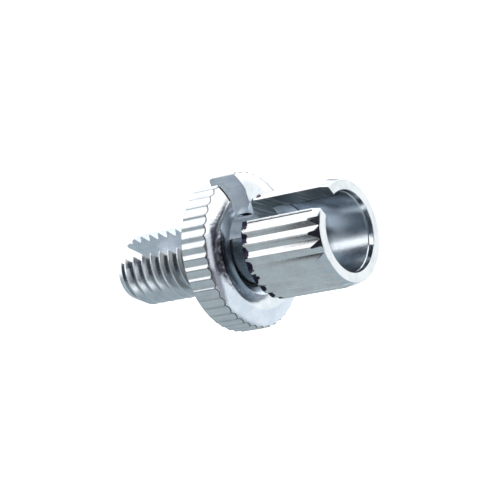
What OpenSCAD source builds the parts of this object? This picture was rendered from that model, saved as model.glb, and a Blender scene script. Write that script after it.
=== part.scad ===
// Slotted brake cable adjuster screw with its knurled lock ring.
// It stands on the end of its thread, +Z runs along the axis to the cup that
// takes the cable housing, and the screw's slot faces -Y.

/* [Thread] */
// Outside diameter of the thread
thread_d = 8; // [7.6:0.1:8.4]
// Pitch of the thread
thread_pitch = 1.25; // [1:0.25:1.5]
// Height at which the thread has run out, from the end of the screw
thread_len = 16.1; // [15.6:0.1:17]
// Diameter of the end face, inside its chamfer
end_d = 6.3; // [6:0.1:7]
// Length of the chamfer at the end, along the axis
end_chamfer = 1.9; // [1:0.1:2.5]
// Diameter of the countersink in the end face
end_sink_d = 5.6; // [4:0.1:5.8]

/* [Cable way] */
// Diameter of the cable bore through the whole screw
bore_d = 3; // [2.4:0.1:3.4]
// Width of the slot that lets the cable in from the side
slot_w = 3; // [2.4:0.1:3.4]

/* [Barrel] */
// Height of the barrel's rear edge above the end of the screw
stem_len = 19.4; // [18.8:0.1:22]
// Length of the barrel, from its rear edge to the rim
barrel_len = 10; // [9:0.1:14]
// Outside diameter of the barrel
barrel_d = 11.7; // [11.2:0.1:13]
// Diameter of the neck between the thread and the barrel
neck_d = 7.5; // [7:0.1:7.6]
// Radius of the fillet between the neck and the barrel
neck_fillet = 0.8; // [0.3:0.1:1]
// Slope of the barrel's rear face, in degrees
rear_slope = 24; // [10:1:30]
// Chamfer on the barrel's rear edge
rear_chamfer = 0.25; // [0.1:0.05:0.4]
// Length over which the barrel rounds down to the rim and ends the flutes
rim_round_len = 1.3; // [0.8:0.1:2]
// Drop of that rounding at the rim, on the radius
rim_round_drop = 0.3; // [0.2:0.05:0.6]
// Chamfer outside the rim
rim_chamfer = 0.06; // [0.04:0.01:0.12]

/* [Cup] */
// Diameter of the cup that holds the end of the cable housing
cup_d = 8.7; // [8:0.1:9.4]
// Depth of the cup below the rim
cup_depth = 8; // [5:0.5:9]
// Widening of the cup's mouth, on the radius
mouth_flare = 0.1; // [0.05:0.05:0.3]
// Depth of the flared mouth
mouth_depth = 0.6; // [0.3:0.1:1.5]

/* [Flutes] */
// Number of flutes round the barrel
flutes = 24; // [16:1:30]
// Depth of a flute
flute_depth = 0.28; // [0.2:0.02:0.5]
// Turn of the first flute from the middle of the slot, in degrees
flute_phase = 4.6; // [0:0.1:15]

/* [Ring] */
// Outside diameter of the lock ring over its teeth
ring_d = 17.3; // [16:0.1:20]
// Height of the ring's back face above the end of the screw
ring_height = 13.2; // [4:0.1:13.4]
// Width of the knurled band
band_w = 3.3; // [2.5:0.1:4]
// Height of the domed face above the band
dome_h = 0.9; // [0.5:0.05:1.2]
// Radius of the dome's curve
dome_r = 5; // [3:0.5:12]
// Diameter at which the dome meets the flat of the face
face_d = 13.2; // [11.5:0.1:14]
// Dip of the flat of the face towards its middle
face_dish = 0.15; // [0.05:0.05:0.3]
// Diameter of the countersink in the face
ring_sink_d = 10.1; // [9:0.1:11]
// Depth of the countersink in the face
ring_sink = 0.85; // [0.5:0.05:1.2]
// Bevel on the back edge of the band
back_bevel = 0.25; // [0.1:0.05:0.5]
// Countersink on the back of the ring's bore
back_sink = 0.4; // [0.2:0.1:0.6]
// Gap between the ring's bore and the thread's crest, on the radius
ring_gap = 0.05; // [0.02:0.01:0.1]
// Width of the slot through the ring
ring_slot_w = 3.1; // [2.5:0.1:3.6]
// Turn of the ring's slot from the screw's slot, in degrees
ring_turn = -24.7; // [-180:0.1:180]

/* [Knurl] */
// Number of teeth round the ring
teeth = 46; // [30:1:60]
// Depth of the hollow between two teeth
tooth_depth = 0.27; // [0.15:0.01:0.4]
// Width of a tooth's crest
tooth_crest = 0.1; // [0.05:0.01:0.3]
// Turn of the first crest from the middle of the ring's slot, in degrees
tooth_phase = 1; // [0:0.1:8]

/* [Hidden] */

fine = 96;
arc_steps = 8;
over = 1;
thread_r = thread_d/2;
bore_r = bore_d/2;
neck_r = neck_d/2;
barrel_r = barrel_d/2;
cup_r = cup_d/2;
ring_r = ring_d/2;
ring_bore_r = thread_r+ring_gap;
rim_z = stem_len+barrel_len;
cup_floor = rim_z-cup_depth;
cone_z = stem_len-(barrel_r-neck_r)*tan(rear_slope);

// Thread form: flanks 30 degrees off square, a flat crest, and a groove that
// rises out at its top end. The crest and the depth are shares of the pitch.
flank = 30;
crest_share = 0.125;
depth_share = 0.6134;
crest_flat = crest_share*thread_pitch;
groove_depth = depth_share*thread_pitch;
groove_lip = 0.1;
turn_steps = 30;
fade_turns = 0.6;
groove_turns = (thread_len-crest_flat)/thread_pitch+1;
groove_count = ceil(groove_turns*turn_steps);

function groove_half(r) = (thread_pitch-crest_flat)/2-(thread_r-r)*tan(flank);
function groove_rise(i) =
    max(0, i/turn_steps-(groove_turns-fade_turns))/fade_turns*(groove_depth+groove_lip/2);
function groove_section(i) =
    let (a = i*360/turn_steps,
         z = (i/turn_steps-1)*thread_pitch,
         root = thread_r-groove_depth+groove_rise(i),
         lip = thread_r+groove_lip,
         narrow = groove_rise(i)*tan(flank),
         low = groove_half(thread_r-groove_depth),
         high = groove_half(lip)-narrow)
    [[root*cos(a), root*sin(a), z-low], [lip*cos(a), lip*sin(a), z-high],
     [lip*cos(a), lip*sin(a), z+high], [root*cos(a), root*sin(a), z+low]];

// Skin of a solid that is swept through sections of n points each
function skin(count, n) = concat(
    [[for (j = [n-1:-1:0]) j]],
    [for (i = [0:count-1]) for (j = [0:n-1])
        let (k = (j+1)%n, a = n*i, b = n*(i+1)) each [[a+j, a+k, b+j], [a+k, b+k, b+j]]],
    [[for (j = [0:n-1]) n*count+j]]);

// Points of an arc round c from angle a to angle b
function arc(c, r, a, b) =
    [for (i = [0:arc_steps]) let (t = a+(b-a)*i/arc_steps) [c[0]+r*cos(t), c[1]+r*sin(t)]];

module thread_groove() {
    sections = [for (i = [0:groove_count]) groove_section(i)];
    polyhedron([for (s = sections) each s], skin(groove_count, 4), convexity = 20);
}

// Turned shape of the screw: countersunk end, stem, neck, barrel and cup
module screw_blank() {
    sink_depth = (end_sink_d-bore_d)/2;
    step = thread_r-neck_r;
    bend = 90-rear_slope;
    tangent = neck_fillet*tan(bend/2);
    fillet = arc([neck_r+neck_fillet, cone_z-tangent], neck_fillet, 180, 180-bend);
    rear_r = barrel_r-rear_chamfer;
    rear_low = stem_len-rear_chamfer*tan(rear_slope);
    rim_r = barrel_r-rim_round_drop;
    round_len = rim_round_len-rim_chamfer;
    round_r = (round_len*round_len+rim_round_drop*rim_round_drop)/(2*rim_round_drop);
    rounding = arc([barrel_r-round_r, rim_z-rim_round_len], round_r, 0, asin(round_len/round_r));
    outline = concat(
        [[bore_r, sink_depth], [end_sink_d/2, 0], [end_d/2, 0], [thread_r, end_chamfer],
         [thread_r, thread_len-step], [neck_r, thread_len]],
        fillet,
        [[rear_r, rear_low], [barrel_r, rear_low+rear_chamfer]],
        rounding,
        [[rim_r-rim_chamfer, rim_z], [cup_r+mouth_flare, rim_z],
         [cup_r, rim_z-mouth_depth], [cup_r, cup_floor], [bore_r, cup_floor]]);
    rotate_extrude($fn = fine) polygon(outline);
}

// Cutter of one flute: a straight V groove from the cone through the rim
module flute() {
    outer = barrel_r+over;
    root = barrel_r-flute_depth;
    wide = tan(180/flutes)*barrel_r*(outer-root)/flute_depth;
    translate([0, 0, cone_z-over])
        linear_extrude(rim_z-cone_z+2*over) polygon([[root, 0], [outer, wide], [outer, -wide]]);
}

module adjuster_screw() {
    color("silver") difference() {
        screw_blank();
        thread_groove();
        for (i = [0:flutes-1]) rotate(flute_phase-90+i*360/flutes) flute();
        translate([-slot_w/2, -barrel_r-over, -over])
            cube([slot_w, barrel_r+over, rim_z+2*over]);
    }
}

// Cutters of the round hollows between the ring's teeth
module knurl() {
    half_turn = 180/teeth;
    half = ring_r*sin(half_turn)-tooth_crest/2;
    hollow_r = (half*half+tooth_depth*tooth_depth)/(2*tooth_depth);
    centre = ring_r*cos(half_turn)-tooth_depth+hollow_r;
    for (i = [0:teeth-1]) rotate(tooth_phase-90+(2*i+1)*half_turn)
        translate([centre, 0, -over]) cylinder(h = band_w+dome_h+2*over, r = hollow_r, $fn = fine);
}

// Turned shape of the ring: band, domed and dished face, countersunk bore
module ring_blank() {
    face_r = face_d/2;
    sink_r = ring_sink_d/2;
    dome_z = band_w+dome_h;
    run = ring_r-face_r;
    chord = sqrt(run*run+dome_h*dome_h);
    slope = atan(dome_h/run);
    half_sweep = asin(chord/2/dome_r);
    high = 90-slope+half_sweep;
    dome = arc([face_r-dome_r*cos(high), dome_z-dome_r*sin(high)], dome_r, high-2*half_sweep, high);
    outline = concat(
        [[ring_bore_r, back_sink], [ring_bore_r+back_sink, 0], [ring_r-back_bevel, 0],
         [ring_r, back_bevel]],
        dome,
        [[sink_r, dome_z-face_dish], [ring_bore_r, dome_z-face_dish-ring_sink]]);
    rotate_extrude($fn = fine) polygon(outline);
}

module lock_ring() {
    color("gainsboro") translate([0, 0, ring_height]) rotate(ring_turn) difference() {
        ring_blank();
        knurl();
        translate([-ring_slot_w/2, -ring_r-over, -over])
            cube([ring_slot_w, ring_r+over, band_w+dome_h+2*over]);
    }
}

adjuster_screw();
lock_ring();
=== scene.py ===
import bpy
from math import radians, degrees, sin, cos, tan, asin, pi
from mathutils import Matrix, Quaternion, Vector


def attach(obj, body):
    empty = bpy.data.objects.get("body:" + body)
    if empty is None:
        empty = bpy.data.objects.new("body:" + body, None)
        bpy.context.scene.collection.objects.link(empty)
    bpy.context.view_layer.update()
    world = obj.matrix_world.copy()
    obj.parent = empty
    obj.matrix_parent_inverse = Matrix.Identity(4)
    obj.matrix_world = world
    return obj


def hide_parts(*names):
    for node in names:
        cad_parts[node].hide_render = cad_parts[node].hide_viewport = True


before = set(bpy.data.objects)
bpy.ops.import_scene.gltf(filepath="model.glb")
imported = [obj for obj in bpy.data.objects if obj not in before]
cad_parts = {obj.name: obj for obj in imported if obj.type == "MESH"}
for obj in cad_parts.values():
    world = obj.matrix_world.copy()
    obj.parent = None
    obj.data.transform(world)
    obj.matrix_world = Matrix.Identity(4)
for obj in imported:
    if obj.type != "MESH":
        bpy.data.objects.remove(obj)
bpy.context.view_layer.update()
mm = 0.001

view = {
    "aim": (0, 0, 16.16 * mm),  # on the axis, just above the lock ring
    "azimuth": 47.5,  # degrees round the axis from the slot's side
    "elevation": 35.9,
    "roll": 79.25,  # lays the axis to the right, rising a little
    "distance": 243.1 * mm,
    "nearest": 10 * mm,
    "lens": 161.06,
    "sensor": 36,
}


def addCamera():
    around = radians(view["azimuth"])
    above = radians(view["elevation"])
    back = Vector((sin(around) * cos(above), -cos(around) * cos(above), sin(above)))
    place = Vector(view["aim"]) + back * view["distance"]
    bpy.ops.object.camera_add(location=place)
    camera = bpy.context.object
    camera.name = "camera"
    camera.rotation_mode = "QUATERNION"
    turn = Quaternion((0, 0, 1), radians(view["roll"]))
    camera.rotation_quaternion = back.to_track_quat("Z", "Y") @ turn
    camera.data.lens = view["lens"]
    camera.data.sensor_width = view["sensor"]
    camera.data.clip_start = view["nearest"]
    bpy.context.scene.camera = camera
    bpy.context.view_layer.update()
    return camera.matrix_world.to_3x3()


cameraAxes = addCamera()
print("camera is in place")

studio = {
    "tent": (1.45, 1.48, 1.52),
    # Soft boxes and dark flags round the part, in degrees. Turn is counted from the camera
    # to its right, and height from the middle of its view. A later card covers an earlier one.
    "cards": {
        "behindRight": {"turn": (152, 200), "height": (-30, 30), "soft": 14, "colour": (0.62, 0.62, 0.68)},
        "behindLeft": {"turn": (-200, -152), "height": (-30, 30), "soft": 14, "colour": (0.62, 0.62, 0.68)},
        "rightTent": {"turn": (84, 128), "height": (-8, 34), "soft": 10, "colour": (1.14, 1.15, 1.14)},
        "rightWall": {"turn": (60, 175), "height": (-60, 0), "soft": 14, "colour": (0.88, 0.96, 1.04)},
        "leftLow": {"turn": (-102, -62), "height": (-60, 3), "soft": 8, "colour": (0.42, 0.48, 0.51)},
        "leftBack": {"turn": (-210, -100), "height": (-60, -10), "soft": 12, "colour": (0.47, 0.53, 0.56)},
        "ground": {"turn": (-200, 200), "height": (-100, -30), "soft": 10, "colour": (0.43, 0.50, 0.54)},
        "wallFoot": {"turn": (49, 64), "height": (-30, 2), "soft": 6, "colour": (0.34, 0.36, 0.41)},
        "doorStep": {"turn": (38, 50), "height": (-17, 2), "soft": 5, "colour": (0.14, 0.14, 0.17)},
        "lampSide": {"turn": (41, 53), "height": (0, 25), "soft": 5, "colour": (0.76, 0.8, 0.86)},
        "darkDoor": {"turn": (27, 41), "height": (-14, 21), "soft": 4, "colour": (0.035, 0.03, 0.045)},
        "darkRight": {"turn": (53, 94), "height": (-1, 29), "soft": 8, "colour": (0.07, 0.07, 0.10)},
        "frontGrey": {"turn": (-22, 14), "height": (-44, 42), "soft": 8, "colour": (0.14, 0.16, 0.18)},
        "darkTop": {"turn": (10, 38), "height": (22, 42), "soft": 6, "colour": (0.08, 0.075, 0.11)},
        "darkLeft": {"turn": (-63, -19), "height": (-31, 15), "soft": 6, "colour": (0.018, 0.018, 0.026)},
        "darkHigh": {"turn": (-57, -19), "height": (8, 44), "soft": 6, "colour": (0.02, 0.02, 0.03)},
    },
    "floorColour": (0.92, 0.92, 0.92),
    "floorGlow": 0.8,
    "floorSides": 96,
    "floorRadius": 0.9,
    "wall": [(1.05, 0.05), (1.15, 0.2), (1.2, 0.6), (0.95, 1.1)],  # radius and height of each bend
}


def addMath(tree, operation, *values):
    node = tree.nodes.new("ShaderNodeMath")
    node.operation = operation
    for socket, value in zip(node.inputs, values):
        if isinstance(value, (int, float)):
            socket.default_value = value
        else:
            tree.links.new(value, socket)
    return node.outputs["Value"]


def addVectorMath(tree, operation, *values):
    node = tree.nodes.new("ShaderNodeVectorMath")
    node.operation = operation
    for socket, value in zip(node.inputs, values):
        if isinstance(value, bpy.types.NodeSocket):
            tree.links.new(value, socket)
        else:
            socket.default_value = value
    return node.outputs["Value"]


def addRamp(tree, value, low, high, start=0.0, end=1.0):
    node = tree.nodes.new("ShaderNodeMapRange")
    node.interpolation_type = "SMOOTHSTEP"
    node.inputs["From Min"].default_value = low
    node.inputs["From Max"].default_value = high
    node.inputs["To Min"].default_value = start
    node.inputs["To Max"].default_value = end
    tree.links.new(value, node.inputs["Value"])
    return node.outputs["Result"]


def addMix(tree, share, first, second):
    node = tree.nodes.new("ShaderNodeMix")
    node.data_type = "RGBA"
    tree.links.new(share, node.inputs["Factor"])
    for socket, value in ((node.inputs["A"], first), (node.inputs["B"], second)):
        if isinstance(value, tuple):
            socket.default_value = (*value, 1)
        else:
            tree.links.new(value, socket)
    return node.outputs["Result"]


# 1 between two edges, fading to 0 over the softness of each
def addBand(tree, value, low, high, softness):
    half = softness / 2
    return addMath(tree, "MULTIPLY", addRamp(tree, value, low - half, low + half),
                   addRamp(tree, value, high - half, high + half, 1, 0))


def lightStudio():
    world = bpy.data.worlds.new("studio")
    bpy.context.scene.world = world
    world.use_nodes = True
    tree = world.node_tree
    way = tree.nodes.new("ShaderNodeTexCoord").outputs["Generated"]
    right, up, back = [addVectorMath(tree, "DOT_PRODUCT", way, axis) for axis in cameraAxes.col]
    turn = addMath(tree, "DEGREES", addMath(tree, "ARCTAN2", right, back))
    height = addMath(tree, "DEGREES", addMath(tree, "ARCSINE", up))
    colour = studio["tent"]
    for card in studio["cards"].values():
        share = addMath(tree, "MULTIPLY", addBand(tree, turn, *card["turn"], card["soft"]),
                        addBand(tree, height, *card["height"], card["soft"]))
        colour = addMix(tree, share, colour, card["colour"])
    tree.links.new(colour, tree.nodes["Background"].inputs["Color"])
    bpy.context.scene.view_settings.view_transform = "Standard"


def deselect():
    if bpy.context.mode != "OBJECT":
        bpy.ops.object.mode_set(mode="OBJECT")
    bpy.ops.object.select_all(action="DESELECT")


def pick(piece):
    deselect()
    piece.select_set(True)
    bpy.context.view_layer.objects.active = piece


# goes into edit mode with the whole mesh selected
def openMesh():
    bpy.ops.object.mode_set(mode="EDIT")
    bpy.ops.mesh.select_all(action="SELECT")


def addFloor():
    deselect()
    bpy.ops.mesh.primitive_circle_add(vertices=studio["floorSides"], radius=studio["floorRadius"],
                                      fill_type="NGON")
    floor = bpy.context.object
    floor.name = "studioFloor"
    openMesh()
    bpy.ops.mesh.region_to_loop()
    radius, height = studio["floorRadius"], 0
    for outward, upward in studio["wall"]:
        bpy.ops.mesh.extrude_edges_move(TRANSFORM_OT_translate={"value": (0, 0, upward - height)})
        grow = outward / radius
        bpy.ops.transform.resize(value=(grow, grow, 1), center_override=(0, 0, upward))
        radius, height = outward, upward
    bpy.ops.object.mode_set(mode="OBJECT")
    paper = bpy.data.materials.new("floorPaper")
    paper.use_nodes = True
    shader = paper.node_tree.nodes["Principled BSDF"]
    shader.inputs["Base Color"].default_value = (*studio["floorColour"], 1)
    shader.inputs["Roughness"].default_value = 1
    shader.inputs["Emission Color"].default_value = (1, 1, 1, 1)
    shader.inputs["Emission Strength"].default_value = studio["floorGlow"]
    floor.data.materials.append(paper)
    floor.visible_glossy = False
    floor.visible_diffuse = False
    floor.visible_shadow = False


lightStudio()
addFloor()
print("studio is lit")

# Zinc plate as each tool leaves it, with painted shade, painted light and painted reflections in some
# finishes. What a finish doesn't say is as in plainFinish.
plainFinish = {
    "rings": 0,  # turning marks
    "streaks": 0,  # marks along the axis
    "upper": None,  # a second colour, from the height upperFrom: painted shade and painted light by height
    # shares of painted shade at the barrel's rear end and of a painted dark reflection on the dome
    "paintedShade": 0,
    "paintedReflection": 0,
    "stain": (0.70, 0.715, 0.73),
    "edge": (0.95, 0.95, 0.96),  # colour of the edges: worn edges where it is light, painted edge shade where it is dark
    "round": 0.05,  # radius of the edges, in mm
    "fullEdgeColour": 0.93,  # how far an edge must turn to take the edge colour, less is further
}
finishes = {
    "turnedZinc": {"colour": (0.78, 0.82, 0.85), "roughness": 0.12, "grain": 0.12, "rings": 0.6,
                   "waves": 0.1, "satin": 0.4},
    # flutedZinc has painted shade at the barrel's rear end and in its flute roots there
    "flutedZinc": {"colour": (0.88, 0.90, 0.90), "roughness": 0.14, "grain": 0.25, "streaks": 1.0,
                   "waves": 0.2, "satin": 0.8, "stain": (0.74, 0.71, 0.71), "paintedShade": 1.0, "fullEdgeColour": 0.96},
    # knurledZinc and polishedZinc paint their edges near-black: painted shade along the edge between the
    # teeth and the dome
    "knurledZinc": {"colour": (0.82, 0.84, 0.85), "roughness": 0.14, "grain": 0.2, "streaks": 0.7,
                    "waves": 0.12, "satin": 0.5, "edge": (0.03, 0.03, 0.04), "round": 0.07,
                    "fullEdgeColour": 0.975},
    # slotZinc turns dark from upperFrom up: painted shade deep in the barrel's slot
    "slotZinc": {"colour": (0.88, 0.93, 0.98), "roughness": 0.28, "grain": 0.3, "streaks": 1.6,
                 "waves": 0.5, "satin": 1.0, "upper": (0.29, 0.325, 0.345), "upperFrom": 18.4},
    "threadZinc": {"colour": (0.68, 0.72, 0.75), "roughness": 0.22, "grain": 0.1, "waves": 0.1,
                   "satin": 0.1, "round": 0},
    # polishedZinc and dishedZinc carry a painted dark reflection on the dome and the dish
    "polishedZinc": {"colour": (0.84, 0.87, 0.90), "roughness": 0.1, "grain": 0.15, "waves": 0.1,
                     "satin": 1.6, "edge": (0.03, 0.03, 0.04), "round": 0.09, "fullEdgeColour": 0.98,
                     "paintedReflection": 0.82},
    "dishedZinc": {"colour": (0.80, 0.86, 0.91), "roughness": 0.2, "grain": 0.12, "rings": 0.4,
                   "waves": 0.05, "satin": 0.4, "paintedReflection": 0.5},
    # cupZinc is darker near the cup's floor and lighter from upperFrom up: painted shade and painted light
    # in the cup
    "cupZinc": {"colour": (0.52, 0.57, 0.62), "roughness": 0.22, "grain": 0.15, "rings": 0.3,
                "waves": 0.6, "satin": 0.8, "upper": (0.78, 0.82, 0.86), "upperFrom": 23.6},
    # coneZinc takes painted shade as dark spots in the gap between the barrel and the ring
    "coneZinc": {"colour": (0.62, 0.65, 0.68), "roughness": 0.28, "grain": 0.7, "rings": 1.0,
                 "waves": 0.2, "satin": 1.5, "paintedShade": 0.7},
    # neckShadeZinc is painted shade, dark and dull, in the gap between the stem and the ring
    "neckShadeZinc": {"colour": (0.60, 0.64, 0.68), "roughness": 0.32, "grain": 0.3, "rings": 1.0,
                 "waves": 0.2, "satin": 1.0},
    # boreShadeZinc is painted shade in the ring's bore and on the cup's floor
    "boreShadeZinc": {"colour": (0.16, 0.17, 0.19), "roughness": 0.4, "grain": 0.3, "rings": 1.0,
                 "waves": 0.2, "satin": 1.0},
    # backShadeZinc is painted shade on the ring's back face, which faces away from the light
    "backShadeZinc": {"colour": (0.40, 0.39, 0.37), "roughness": 0.35, "grain": 0.3, "waves": 0.2,
                 "satin": 1.0},
    # burrShadowZinc is the near-black of a painted shadow in the burr grooves
    "burrShadowZinc": {"colour": (0.03, 0.027, 0.04), "roughness": 0.4, "grain": 0.4, "waves": 0.2,
                 "satin": 1.0},
}
# Noise of the plate. Scales are per mm, depths are in mm, and stretch is along X, Y and Z.
noise = {
    "clouds": {"scale": 0.55, "detail": 3, "from": 0.4, "to": 0.7, "brightness": 0.8},
    "grain": {"scale": 5.0, "detail": 4, "low": 0.5, "span": 0.9},
    "speckle": {"scale": 9.0, "detail": 3, "from": 0.35, "to": 0.65, "dark": 0.45},
    "scratches": {"stretch": (12, 12, 0.35), "detail": 3, "from": 0.42, "to": 0.68, "share": 0.18,
                  "dark": 0.6, "rough": 0.12, "depth": 0.0022},
    "hatch": {"lean": 38, "stretch": (1, 5, 0.4), "detail": 3, "from": 0.5, "to": 0.64, "share": 0.3,
              "fade": 0.8, "colour": (0.9, 0.95, 0.95)},
    "waves": {"scale": 0.9, "detail": 2, "depth": 0.012},
    "satin": {"scale": 3.2, "detail": 3, "depth": 0.005},
    "rings": {"stretch": (0.2, 0.2, 16), "detail": 3, "depth": 0.0016},
}
wearAndEdgeShade = {"samples": 4, "noEdgeColour": 0.995}
# Painted shade at the rear ends of the flutes, and in their roots between two radii
paintedShade = {
    "colour": (0.03, 0.024, 0.045),
    "low": 19.3,
    "high": 20.8,
    "share": 0.3,
    "rootOut": 5.82,
    "rootOutFade": 0.14,
    "rootIn": 5.15,
    "rootInFade": 0.3,
    "rootHigh": 20.15,
    "rootFade": 0.5,
    "rootShare": 0.29,
    "scale": 2.8,
    "detail": 3,
    "from": 0.74,
    "to": 0.82,
}
# A painted dark reflection, a mottled patch on the dome
paintedReflection = {
    "middle": (5.2, -4.7, 17.3),
    "reach": 3.6,
    "full": 1.2,
    "low": 16.98,
    "lowFade": 0.16,
    "scale": 1.7,
    "detail": 4,
    "share": 0.4,
    "from": 0.6,
    "to": 0.86,
}


def addNoise(tree, place, scale, detail):
    node = tree.nodes.new("ShaderNodeTexNoise")
    node.inputs["Scale"].default_value = scale
    node.inputs["Detail"].default_value = detail
    tree.links.new(place, node.inputs["Vector"])
    return node.outputs["Fac"]


def stretched(tree, place, scale, turn=(0, 0, 0)):
    node = tree.nodes.new("ShaderNodeMapping")
    node.inputs["Scale"].default_value = scale
    node.inputs["Rotation"].default_value = turn
    tree.links.new(place, node.inputs["Vector"])
    return node.outputs["Vector"]


def noiseOf(tree, place, kind):
    return addNoise(tree, place, noise[kind]["scale"], noise[kind]["detail"])


def longNoise(tree, place, kind):
    return addNoise(tree, stretched(tree, place, noise[kind]["stretch"]), 1.0, noise[kind]["detail"])


def darker(colour, share):
    return tuple(value * share for value in colour)


def plateColour(tree, place, height, scratches, look):
    clouds = noise["clouds"]
    tone = addRamp(tree, noiseOf(tree, place, "clouds"), clouds["from"], clouds["to"])
    stain = tuple(a * b / clouds["brightness"] for a, b in zip(look["colour"], look["stain"]))
    colour = addMix(tree, tone, look["colour"], stain)
    speckle = noise["speckle"]
    specks = addRamp(tree, noiseOf(tree, place, "speckle"), speckle["from"], speckle["to"], 0, look["grain"])
    colour = addMix(tree, specks, colour, darker(look["colour"], speckle["dark"]))
    if look["streaks"]:
        lines = noise["scratches"]
        streaks = addRamp(tree, scratches, lines["from"], lines["to"], 0, lines["share"] * look["streaks"])
        colour = addMix(tree, streaks, colour, darker(look["colour"], lines["dark"]))
    # The second colour is painted shade and light by height: darker slot walls in the barrel, a lighter
    # upper cup wall
    if look["upper"]:
        hatch = noise["hatch"]
        leaning = stretched(tree, place, (1, 1, 1), (radians(hatch["lean"]), 0, 0))
        lines = addRamp(tree, longNoise(tree, leaning, "hatch"), hatch["from"], hatch["to"], 0,
                        hatch["share"] * look["streaks"])
        above = addRamp(tree, height, look["upperFrom"], look["upperFrom"] + hatch["fade"])
        colour = addMix(tree, above, colour, addMix(tree, lines, look["upper"], hatch["colour"]))
    return colour


# colours the edges where the rounded normal turns from the flat one: wear where the edge colour is light,
# painted edge shade where it is near-black
def wearAndEdgeShadeColour(tree, colour, rounded, look):
    flat = tree.nodes.new("ShaderNodeNewGeometry").outputs["Normal"]
    turned = addVectorMath(tree, "DOT_PRODUCT", rounded, flat)
    return addMix(tree, addRamp(tree, turned, wearAndEdgeShade["noEdgeColour"], look["fullEdgeColour"]), colour, look["edge"])


# paints shade as dark spots at the barrel's rear end and in the flute roots there
def rearShadeColour(tree, colour, place, height, look):
    out = addVectorMath(tree, "LENGTH", stretched(tree, place, (1, 1, 0)))
    root = addMath(tree, "MULTIPLY",
                   addRamp(tree, out, paintedShade["rootOut"], paintedShade["rootOut"] - paintedShade["rootOutFade"]),
                   addRamp(tree, out, paintedShade["rootIn"], paintedShade["rootIn"] + paintedShade["rootInFade"]))
    low = addRamp(tree, height, paintedShade["rootHigh"], paintedShade["rootHigh"] - paintedShade["rootFade"], 0,
                  paintedShade["rootShare"])
    near = addMath(tree, "ADD", addRamp(tree, height, paintedShade["high"], paintedShade["low"], 0, paintedShade["share"]),
                   addMath(tree, "MULTIPLY", root, low))
    darkNoise = addMath(tree, "ADD", addNoise(tree, place, paintedShade["scale"], paintedShade["detail"]), near)
    spots = addRamp(tree, darkNoise, paintedShade["from"], paintedShade["to"], 0, look["paintedShade"])
    return addMix(tree, spots, colour, paintedShade["colour"])


# paints a mottled dark reflection on the dome and the dish, in the colour of the painted shade
def darkReflectionColour(tree, colour, place, height, look):
    away = addVectorMath(tree, "DISTANCE", place, paintedReflection["middle"])
    patch = addMath(tree, "MULTIPLY", addRamp(tree, away, paintedReflection["reach"], paintedReflection["full"]),
                    addRamp(tree, height, paintedReflection["low"], paintedReflection["low"] + paintedReflection["lowFade"]))
    darkNoise = addMath(tree, "ADD", addNoise(tree, place, paintedReflection["scale"], paintedReflection["detail"]),
                   addMath(tree, "MULTIPLY", patch, paintedReflection["share"]))
    mottle = addRamp(tree, darkNoise, paintedReflection["from"], paintedReflection["to"])
    share = addMath(tree, "MULTIPLY", addMath(tree, "MULTIPLY", patch, mottle), look["paintedReflection"])
    return addMix(tree, share, colour, paintedShade["colour"])


def plateRelief(tree, place, scratches, look):
    depths = [(noiseOf(tree, place, "waves"), noise["waves"]["depth"] * look["waves"]),
              (scratches, noise["scratches"]["depth"] * look["streaks"]),
              (noiseOf(tree, place, "satin"), noise["satin"]["depth"] * look["satin"]),
              (longNoise(tree, place, "rings"), noise["rings"]["depth"] * look["rings"])]
    relief = 0.0
    for pattern, depth in depths:
        relief = addMath(tree, "ADD", relief, addMath(tree, "MULTIPLY", pattern, depth))
    bump = tree.nodes.new("ShaderNodeBump")
    bump.inputs["Distance"].default_value = mm
    bump.inputs["Strength"].default_value = 1
    tree.links.new(relief, bump.inputs["Height"])
    return bump


def roundedEdges(tree, radius):
    bevel = tree.nodes.new("ShaderNodeBevel")
    bevel.samples = wearAndEdgeShade["samples"]
    bevel.inputs["Radius"].default_value = radius * mm
    return bevel.outputs["Normal"]


def platedSteel(name):
    look = {**plainFinish, **finishes[name]}
    steel = bpy.data.materials.new(name)
    steel.use_nodes = True
    tree = steel.node_tree
    shader = tree.nodes["Principled BSDF"]
    shader.inputs["Metallic"].default_value = 1
    metres = tree.nodes.new("ShaderNodeTexCoord").outputs["Object"]
    place = stretched(tree, metres, (1 / mm, 1 / mm, 1 / mm))
    parts = tree.nodes.new("ShaderNodeSeparateXYZ")
    tree.links.new(place, parts.inputs[0])
    height = parts.outputs["Z"]
    scratches = longNoise(tree, place, "scratches")

    colour = plateColour(tree, place, height, scratches, look)
    bump = plateRelief(tree, place, scratches, look)
    if look["round"]:
        rounded = roundedEdges(tree, look["round"])
        colour = wearAndEdgeShadeColour(tree, colour, rounded, look)
        tree.links.new(rounded, bump.inputs["Normal"])
    # painted shade at the barrel's rear end, then a painted dark reflection on the dome and the dish
    if look["paintedShade"]:
        colour = rearShadeColour(tree, colour, place, height, look)
    if look["paintedReflection"]:
        colour = darkReflectionColour(tree, colour, place, height, look)
    tree.links.new(colour, shader.inputs["Base Color"])
    tree.links.new(bump.outputs["Normal"], shader.inputs["Normal"])

    gloss = addMath(tree, "MULTIPLY_ADD", noiseOf(tree, place, "grain"),
                    look["roughness"] * noise["grain"]["span"], look["roughness"] * noise["grain"]["low"])
    rough = addMath(tree, "MULTIPLY", scratches, noise["scratches"]["rough"] * look["streaks"])
    tree.links.new(addMath(tree, "ADD", gloss, rough), shader.inputs["Roughness"])
    return steel


zinc = {name: platedSteel(name) for name in finishes}
print("plating is mixed")


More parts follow.
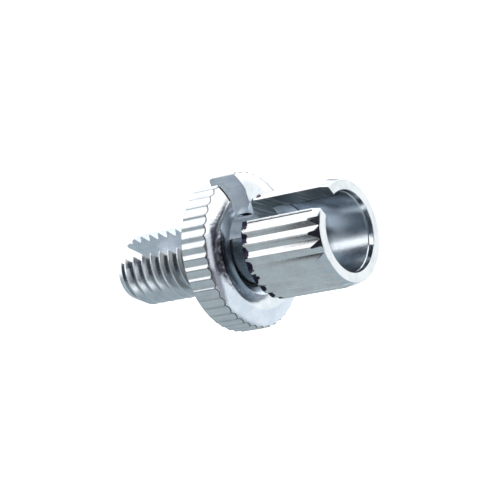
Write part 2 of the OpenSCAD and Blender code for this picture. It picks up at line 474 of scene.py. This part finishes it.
# corners give the radius, the height and the rounding of each corner
def roundedOutline(corners, steps=4):
    outline = []
    for here, (radius, height, rounding) in enumerate(corners):
        corner = Vector((radius, height))
        if not rounding:
            outline.append(corner)
            continue
        before = (Vector(corners[here - 1][:2]) - corner).normalized()
        after = (Vector(corners[(here + 1) % len(corners)][:2]) - corner).normalized()
        half = before.angle(after) / 2
        centre = corner + (before + after).normalized() * rounding / sin(half)
        start = (corner + before * rounding / tan(half) - centre).normalized()
        end = (corner + after * rounding / tan(half) - centre).normalized()
        outline += [centre + start.slerp(end, step / steps) * rounding for step in range(steps + 1)]
    return outline


def arcOutline(centre, radius, low, high, steps):
    turns = [radians(low + (high - low) * step / steps) for step in range(steps + 1)]
    return [(centre[0] + radius * cos(turn), centre[1] + radius * sin(turn), 0) for turn in turns]


def turnedPiece(name, corners, sides, finish):
    outline = roundedOutline(corners)
    deselect()
    bpy.ops.mesh.primitive_circle_add(vertices=sides, radius=outline[0].x * mm,
                                      location=(0, 0, outline[0].y * mm))
    piece = bpy.context.object
    piece.name = name
    piece.data.materials.append(zinc[finish])
    bpy.ops.object.transform_apply(location=True)
    bpy.ops.object.mode_set(mode="EDIT")
    bpy.ops.mesh.select_mode(type="EDGE")
    bpy.ops.mesh.select_all(action="SELECT")
    for before, after in zip(outline, outline[1:]):
        bpy.ops.mesh.extrude_edges_move(TRANSFORM_OT_translate={"value": (0, 0, (after.y - before.y) * mm)})
        grow = after.x / before.x
        bpy.ops.transform.resize(value=(grow, grow, 1), center_override=(0, 0, after.y * mm))
    bpy.ops.mesh.select_all(action="DESELECT")
    bpy.ops.mesh.select_non_manifold()
    bpy.ops.mesh.bridge_edge_loops()
    bpy.ops.mesh.select_all(action="SELECT")
    bpy.ops.mesh.normals_make_consistent(inside=False)
    bpy.ops.object.mode_set(mode="OBJECT")
    return piece


# cut faces take the finish of the cutter
def carve(piece, cutter):
    pick(piece)
    cutting = piece.modifiers.new("carve", "BOOLEAN")
    cutting.operation = "DIFFERENCE"
    cutting.solver = "EXACT"
    cutting.material_mode = "TRANSFER"
    cutting.object = cutter
    bpy.ops.object.modifier_apply(modifier=cutting.name)
    bpy.data.objects.remove(cutter, do_unlink=True)


def slotCutter(width, reach, low, high):
    deselect()
    bpy.ops.mesh.primitive_cube_add(size=1, location=(0, -reach / 2 * mm, (low + high) / 2 * mm),
                                    scale=(width * mm, reach * mm, (high - low) * mm))
    cutter = bpy.context.object
    cutter.data.materials.append(zinc["slotZinc"])
    bpy.ops.object.transform_apply(location=True, scale=True)
    return cutter


# spins copies of a cutter round the axis
def copiesRound(cutter, count):
    openMesh()
    bpy.ops.mesh.spin(steps=count - 1, dupli=True, angle=2 * pi * (count - 1) / count,
                      center=(0, 0, 0), axis=(0, 0, 1))
    bpy.ops.object.mode_set(mode="OBJECT")


def turnPiece(piece, angle):
    pick(piece)
    openMesh()
    bpy.ops.transform.rotate(value=-radians(angle), orient_axis="Z", center_override=(0, 0, 0))
    bpy.ops.object.mode_set(mode="OBJECT")


# takes the sharp edge off both sides of a slot that runs straight along a barrel
def breakEdges(piece, radius, width, low, high, bevel):
    depth = (radius * radius - width * width / 4) ** 0.5
    for side in (-1, 1):
        deselect()
        bpy.ops.mesh.primitive_cube_add(size=1,
                                        location=(side * width / 2 * mm, -depth * mm, (low + high) / 2 * mm),
                                        rotation=(0, 0, pi / 4 + side * asin(width / 2 / radius) / 2),
                                        scale=(bevel * mm, bevel * mm, (high - low) * mm))
        rod = bpy.context.object
        rod.data.materials.append(zinc["turnedZinc"])
        bpy.ops.object.transform_apply(location=True, rotation=True, scale=True)
        carve(piece, rod)


weld = {"burr": 0.001, "piece": 0.0005, "holeSides": 8, "smoothAngle": 28}


# a thin groove under the burr that a saw leaves along an edge, painted near-black as the burr's shadow
def burrGroove(points, thick):
    path = bpy.data.curves.new("burr", "CURVE")
    path.dimensions = "3D"
    path.bevel_depth = thick / 2 * mm
    path.bevel_resolution = 1
    path.use_fill_caps = True
    line = path.splines.new("POLY")
    line.points.add(len(points) - 1)
    for spot, place in zip(line.points, points):
        spot.co = (*(Vector(place) * mm), 1)
    groove = bpy.data.objects.new("burr", path)
    bpy.context.collection.objects.link(groove)
    pick(groove)
    bpy.ops.object.convert(target="MESH")
    groove = bpy.context.object
    openMesh()
    bpy.ops.mesh.remove_doubles(threshold=weld["burr"] * mm)
    bpy.ops.mesh.normals_make_consistent(inside=False)
    bpy.ops.object.mode_set(mode="OBJECT")
    groove.data.materials.clear()
    groove.data.materials.append(zinc["burrShadowZinc"])
    return groove


def finishPiece(piece):
    pick(piece)
    openMesh()
    bpy.ops.mesh.remove_doubles(threshold=weld["piece"] * mm)
    bpy.ops.mesh.dissolve_degenerate(threshold=weld["piece"] * mm)
    bpy.ops.mesh.fill_holes(sides=weld["holeSides"])
    bpy.ops.object.mode_set(mode="OBJECT")
    bpy.ops.object.shade_smooth_by_angle(angle=radians(weld["smoothAngle"]))


# A zone takes the faces whose middle has a radius and a height between these values,
# and whose normal has a Z between the two leans. A zone that doesn't say takes all.
anywhere = {"inner": 0, "outer": 100, "low": -100, "high": 100, "leanFrom": -2, "leanTo": 2}
slotWall = {"facing": 0.99, "reach": 1.6}


def onSlot(face, middle):
    return abs(face.normal.x) > slotWall["facing"] and abs(middle.x) < slotWall["reach"] and middle.y < 0


# gives each zone its finish, apart from the burrs and the walls of the slot
def finishZones(piece, zones):
    for finish, limits in zones:
        zone = {**anywhere, **limits}
        piece.data.materials.append(zinc[finish])
        slot = len(piece.data.materials) - 1
        for face in piece.data.polygons:
            middle = face.center / mm
            if piece.data.materials[face.material_index] == zinc["burrShadowZinc"] or onSlot(face, middle):
                continue
            out = (middle.x ** 2 + middle.y ** 2) ** 0.5
            inRing = zone["inner"] <= out < zone["outer"] and zone["low"] <= middle.z < zone["high"]
            if inRing and zone["leanFrom"] < face.normal.z < zone["leanTo"]:
                face.material_index = slot


screw = {
    "sides": 288,
    "boreRadius": 1.5,
    "slotWidth": 3.0,
    "slotReach": 7,
    "slotOver": 1,  # the cutter passes both ends
    "slotBevel": 0.1,
    "bevelLow": 19,
    "bevelHigh": 30,
    "endRadius": 3.15,
    "endChamfer": 1.9,
    "endSinkRadius": 2.8,
    "threadRadius": 4.0,
    "threadLength": 16.1,
    "neckRadius": 3.75,
    "neckFillet": 0.8,
    "rearHeight": 19.4,
    "rearSlope": 24,
    "barrelRadius": 5.85,
    "rimHeight": 29.4,
    "rimRoundLength": 1.35,
    "rimRoundDrop": 0.3,
    "rimEdge": 0.06,
    "cupRadius": 4.35,
    "cupDepth": 8,
    "mouthFlare": 0.1,
    "mouthDepth": 0.6,
    "mouthTaper": 0.7,  # share of the flare that is left at the mouth's foot
}
# radii of the screw's roundings
screwRoundings = {
    "fine": 0.05,
    "sink": 0.03,
    "endChamfer": 0.1,
    "rear": 0.16,
    "rimStart": 0.25,
    "rimEnd": 0.03,
    "rim": 0.02,
    "mouth": 0.04,
    "cupFloor": 0.15,
}


def screwCorners():
    rim = screw["rimHeight"]
    barrel = screw["barrelRadius"]
    neck = screw["neckRadius"]
    stem = screw["threadRadius"]
    bore = screw["boreRadius"]
    sink = screw["endSinkRadius"]
    floor = rim - screw["cupDepth"]
    cone = screw["rearHeight"] - (barrel - neck) * tan(radians(screw["rearSlope"]))
    rimOut = barrel - screw["rimRoundDrop"]
    rimLow = rim - screw["rimEdge"]
    mouthLow = rim - screw["mouthDepth"]
    cup, flare = screw["cupRadius"], screw["mouthFlare"]
    soft = screwRoundings
    return [
        (bore, floor, soft["fine"]),
        (bore, sink - bore, 0),
        (sink, 0, soft["sink"]),
        (screw["endRadius"], 0, soft["fine"]),
        (stem, screw["endChamfer"], soft["endChamfer"]),
        (stem, screw["threadLength"] - stem + neck, soft["fine"]),
        (neck, screw["threadLength"], soft["fine"]),
        (neck, cone, screw["neckFillet"]),
        (barrel, screw["rearHeight"], soft["rear"]),
        (barrel, rimLow - screw["rimRoundLength"], soft["rimStart"]),
        (rimOut, rimLow, soft["rimEnd"]),
        (rimOut - screw["rimEdge"], rim, soft["rim"]),
        (cup + flare, rim, soft["mouth"]),
        (cup + flare * screw["mouthTaper"], mouthLow, 0),
        (cup, mouthLow - flare, 0),
        (cup, floor, soft["cupFloor"]),
    ]


flutes = {"count": 24, "depth": 0.28, "turn": 4.6, "low": 17.4, "high": 30.4, "over": 1}


# three-sided bars, each with one edge along the bottom of a flute
def fluteCutter():
    barrel = screw["barrelRadius"]
    root = barrel - flutes["depth"]
    outer = barrel + flutes["over"]
    size = (outer - root) / 1.5  # a triangle is 1.5 times as high as its radius
    wide = tan(pi / flutes["count"]) * barrel * (outer - root) / flutes["depth"]
    low, high = flutes["low"], flutes["high"]
    deselect()
    bpy.ops.mesh.primitive_cylinder_add(vertices=3, radius=size * mm, depth=(high - low) * mm,
                                        location=(0, (root + size) * mm, (high + low) / 2 * mm),
                                        rotation=(0, 0, pi), scale=(wide / (size * cos(pi / 6)), 1, 1))
    cutter = bpy.context.object
    cutter.data.materials.append(zinc["flutedZinc"])
    bpy.ops.object.transform_apply(location=True, rotation=True, scale=True)
    copiesRound(cutter, flutes["count"])
    turnPiece(cutter, flutes["turn"])
    return cutter


thread = {
    "pitch": 1.25,
    "crest": 0.156,
    "depth": 0.767,
    "flank": 30,
    "lip": 0.05,  # the cutter stands out of the stem by this much
    "lipLimit": 0.9,  # share of the lip that the fading root may reach
    "crestRounding": 0.03,
    "crestStart": 0.8,  # where the crest's rounding starts and ends, in roundings
    "crestEnd": 1.5,
    "rootRounding": 0.12,
    "rootRise": 0.03,
    "rootStep": 0.01,
    "rootFlat": 0.06,
    "stepsPerTurn": 96,
    "fadeTurns": 0.6,
}


# one side of the groove's section, as radius and height above its middle
def grooveSide(radius):
    slant = tan(radians(thread["flank"]))
    half = (thread["pitch"] - thread["crest"]) / 2
    foot = half - thread["depth"] * slant
    root = radius - thread["depth"]
    edge = thread["crestRounding"]
    over = edge * thread["crestEnd"]
    rounding = thread["rootRounding"]
    return [
        (radius + thread["lip"], half + edge),
        (radius, half + edge * thread["crestStart"]),
        (radius - over, half - over * slant),
        (root + rounding, half - (thread["depth"] - rounding) * slant),
        (root + thread["rootRise"], foot - thread["rootStep"]),
        (root, foot - thread["rootFlat"]),
    ]


# lifts the root out of the stem over the last part of a turn
def fadeGroove(cutter, corners, turns, radius):
    lip = thread["lip"]
    rings = len(cutter.data.vertices) // corners
    for place, point in enumerate(cutter.data.vertices):
        share = (place // corners) / (rings - 1)
        rise = max(0, (share * turns - turns + thread["fadeTurns"]) / thread["fadeTurns"])
        across = Vector((point.co.x, point.co.y, 0))
        if across.length >= (radius + lip / 2) * mm:
            continue
        across *= 1 + rise * (thread["depth"] + lip / 2) * mm / across.length
        furthest = (radius + lip * thread["lipLimit"]) * mm
        if across.length > furthest:
            across *= furthest / across.length
        point.co.x, point.co.y = across.x, across.y


# the groove's section, screwed up the stem
def threadCutter():
    radius, pitch = screw["threadRadius"], thread["pitch"]
    turns = (screw["threadLength"] - thread["crest"]) / pitch + 1
    side = grooveSide(radius)
    section = side + [(out, -up) for out, up in reversed(side)]
    deselect()
    bpy.ops.mesh.primitive_circle_add(vertices=len(section), radius=mm)
    cutter = bpy.context.object
    cutter.data.materials.append(zinc["threadZinc"])
    for point, (out, up) in zip(cutter.data.vertices, section):
        point.co = (out * mm, 0, (up - pitch) * mm)
    sweep = cutter.modifiers.new("sweep", "SCREW")
    sweep.axis = "Z"
    sweep.angle = 2 * pi * turns
    sweep.screw_offset = pitch * turns * mm
    sweep.steps = sweep.render_steps = round(turns * thread["stepsPerTurn"])
    sweep.use_smooth_shade = False
    bpy.ops.object.modifier_apply(modifier=sweep.name)
    fadeGroove(cutter, len(section), turns, radius)
    bpy.ops.object.mode_set(mode="EDIT")
    bpy.ops.mesh.select_mode(type="EDGE")
    bpy.ops.mesh.select_all(action="DESELECT")
    bpy.ops.mesh.select_non_manifold()
    bpy.ops.mesh.fill()
    bpy.ops.mesh.select_all(action="SELECT")
    bpy.ops.mesh.normals_make_consistent(inside=False)
    bpy.ops.object.mode_set(mode="OBJECT")
    return cutter


# The burr wanders along the near edge of the barrel's slot, in the first flute. Its groove is painted
# near-black as its shadow.
slotBurr = {
    "beside": 0.2,
    "out": 5.41,
    "low": 19.9,
    "high": 28.4,
    "points": 30,
    "wander": 0.03,
    "quick": 2.1,
    "slow": 0.7,
    "thick": 0.15,
}


def slotBurrLine():
    across = screw["slotWidth"] / 2 + slotBurr["beside"]
    length = slotBurr["high"] - slotBurr["low"]
    line = []
    for step in range(slotBurr["points"]):
        wander = slotBurr["wander"] * sin(step * slotBurr["quick"]) * sin(step * slotBurr["slow"])
        height = slotBurr["low"] + length * step / (slotBurr["points"] - 1)
        line.append((across + wander, -slotBurr["out"], height))
    return line


# where the screw's finishes begin and end, in mm
screwFinish = {
    "fluteInner": 5.6,
    "fluteEnd": 1.5,  # below the rim
    "coneOuter": 5.7,
    "coneLength": 1.6,  # below the barrel's rear edge
    "neckOuter": 4.3,
    "neckLow": 15.9,
    "neckEnd": 0.4,  # below the barrel's rear edge
    "cupSkin": 0.02,  # outside the cup's wall and above its floor
    "cupFoot": 0.4,  # above the cup's floor
}


def screwZones():
    rear, rim = screw["rearHeight"], screw["rimHeight"]
    floor = rim - screw["cupDepth"]
    wall = screw["cupRadius"] + screwFinish["cupSkin"]
    foot = floor + screwFinish["cupFoot"]
    return [
        ("flutedZinc", {"inner": screwFinish["fluteInner"], "low": rear,
                        "high": rim - screwFinish["fluteEnd"]}),
        ("coneZinc", {"outer": screwFinish["coneOuter"], "low": rear - screwFinish["coneLength"],
                      "high": rear}),
        # the neck and the cup's floor take painted shade
        ("neckShadeZinc", {"outer": screwFinish["neckOuter"], "low": screwFinish["neckLow"],
                      "high": rear - screwFinish["neckEnd"]}),
        ("cupZinc", {"outer": wall, "low": foot}),
        ("boreShadeZinc", {"outer": wall, "low": floor + screwFinish["cupSkin"], "high": foot}),
    ]


def makeScrew():
    piece = turnedPiece("screwBody", screwCorners(), screw["sides"], "turnedZinc")
    over = screw["slotOver"]
    carve(piece, slotCutter(screw["slotWidth"], screw["slotReach"], -over, screw["rimHeight"] + over))
    breakEdges(piece, screw["barrelRadius"], screw["slotWidth"], screw["bevelLow"], screw["bevelHigh"],
               screw["slotBevel"])
    carve(piece, threadCutter())
    carve(piece, fluteCutter())
    carve(piece, burrGroove(slotBurrLine(), slotBurr["thick"]))
    finishPiece(piece)
    finishZones(piece, screwZones())
    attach(piece, "adjuster_screw")
    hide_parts("adjuster_screw")
    print("screw is cut:", len(piece.data.polygons), "faces")


makeScrew()

ring = {
    "sides": 368,
    "height": 13.2,
    "radius": 8.65,
    "band": 3.3,
    "dome": 0.9,
    "domeCurve": 5,
    "domeSteps": 14,
    "faceRadius": 6.6,
    "faceDish": 0.15,
    "sinkRadius": 5.05,
    "sinkDepth": 0.85,
    "boreRadius": 4.05,
    "backSink": 0.4,
    "backBevel": 0.4,
    "boreRounding": 0.03,
    "backRounding": 0.05,
    "edgeRounding": 0.02,
    "faceRounding": 0.04,
    "slotWidth": 3.1,
    "slotReach": 10,
    "slotLow": 12,
    "slotHigh": 19,
    "turn": -24.7,
}


# the dome's curve up to the face, without its first two points, next to the band's edge
def domeOutline():
    top = ring["height"] + ring["band"] + ring["dome"]
    run = ring["radius"] - ring["faceRadius"]
    chord = (run * run + ring["dome"] ** 2) ** 0.5
    slope = degrees(Vector((run, ring["dome"])).angle(Vector((1, 0))))
    sweep = degrees(asin(chord / 2 / ring["domeCurve"]))
    high = 90 - slope + sweep
    centre = (ring["faceRadius"] - ring["domeCurve"] * cos(radians(high)),
              top - ring["domeCurve"] * sin(radians(high)))
    return arcOutline(centre, ring["domeCurve"], high - 2 * sweep, high, ring["domeSteps"])[2:]


def ringCorners():
    low = ring["height"]
    band = low + ring["band"]
    face = band + ring["dome"] - ring["faceDish"]
    bore, fine, back = ring["boreRadius"], ring["boreRounding"], ring["backRounding"]
    return [
        (bore, face - ring["sinkDepth"], fine),
        (bore, low + ring["backSink"], fine),
        (bore + ring["backSink"], low, fine),
        (ring["radius"] - ring["backBevel"], low, back),
        (ring["radius"], low + ring["backBevel"], back),
        (ring["radius"], band, ring["edgeRounding"]),
        *domeOutline(),
        (ring["sinkRadius"], face, ring["faceRounding"]),
    ]


knurl = {"teeth": 46, "depth": 0.17, "crest": 0.1, "turn": 1.0, "sides": 64, "length": 6, "middle": 2}


# half the angle of a tooth, and the radius and distance of the round hollow beside it
def knurlHollow():
    step = pi / knurl["teeth"]
    half = ring["radius"] * sin(step) - knurl["crest"] / 2
    hollow = (half * half + knurl["depth"] ** 2) / (2 * knurl["depth"])
    return step, hollow, ring["radius"] * cos(step) - knurl["depth"] + hollow


def knurlCutter():
    step, hollow, out = knurlHollow()
    deselect()
    bpy.ops.mesh.primitive_cylinder_add(vertices=knurl["sides"], radius=hollow * mm,
                                        depth=knurl["length"] * mm,
                                        location=(0, -out * mm, (ring["height"] + knurl["middle"]) * mm))
    cutter = bpy.context.object
    cutter.data.materials.append(zinc["knurledZinc"])
    bpy.ops.object.transform_apply(location=True)
    copiesRound(cutter, knurl["teeth"])
    turnPiece(cutter, knurl["turn"] + degrees(step))
    return cutter


# Burrs along the edge between the teeth and the dome, and on the dome beside the slot, as grooves painted
# near-black as their shadow
bandBurr = {"beside": 0.06, "pointsPerTooth": 8, "slope": 0.74, "thick": 0.14}
domeBurr = {"beside": 0.19, "outer": 8.55, "thick": 0.26}


def bandBurrLine():
    step, hollow, out = knurlHollow()
    start = asin((ring["slotWidth"] / 2 + bandBurr["beside"]) / ring["radius"])
    count = knurl["teeth"] * bandBurr["pointsPerTooth"]
    line = []
    for here in range(count + 1):
        turn = start + (2 * pi - 2 * start) * here / count
        inside = (turn - radians(knurl["turn"]) + 2 * pi) % (2 * step) - step
        across = out * sin(inside)
        edge = min(ring["radius"], out * cos(inside) - (hollow ** 2 - across ** 2) ** 0.5)
        height = ring["height"] + ring["band"] + (ring["radius"] - edge) * bandBurr["slope"]
        line.append((edge * sin(turn), -edge * cos(turn), height))
    return line


def domeBurrLine():
    across = ring["slotWidth"] / 2 + domeBurr["beside"]
    return [(across, -(radius ** 2 - across ** 2) ** 0.5, height)
            for radius, height, rounding in domeOutline() if radius < domeBurr["outer"]]


# where the ring's finishes begin and end, in mm
ringFinish = {
    "knurlInner": 8.2,
    "knurlLow": 0.2,  # above the back face
    "knurlHigh": 0.02,  # below the band's upper edge
    "dishMargin": 0.15,
    "backLean": -0.6,  # Z of the normal, no length
    "boreSkin": 0.1,
}


def ringZones():
    low = ring["height"]
    band = low + ring["band"]
    lean = ringFinish["backLean"]
    return [
        ("knurledZinc", {"inner": ringFinish["knurlInner"], "low": low + ringFinish["knurlLow"],
                         "high": band - ringFinish["knurlHigh"]}),
        ("dishedZinc", {"outer": ring["faceRadius"] - ringFinish["dishMargin"], "low": band}),
        # the back face and the bore are painted shade
        ("backShadeZinc", {"leanTo": lean}),
        ("boreShadeZinc", {"outer": ring["boreRadius"] + ringFinish["boreSkin"], "leanFrom": lean}),
    ]


def makeRing():
    piece = turnedPiece("lockRing", ringCorners(), ring["sides"], "polishedZinc")
    carve(piece, slotCutter(ring["slotWidth"], ring["slotReach"], ring["slotLow"], ring["slotHigh"]))
    carve(piece, knurlCutter())
    carve(piece, burrGroove(domeBurrLine(), domeBurr["thick"]))
    carve(piece, burrGroove(bandBurrLine(), bandBurr["thick"]))
    finishPiece(piece)
    finishZones(piece, ringZones())
    turnPiece(piece, ring["turn"])
    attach(piece, "lock_ring")
    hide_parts("lock_ring")
    print("ring is cut:", len(piece.data.polygons), "faces")


makeRing()
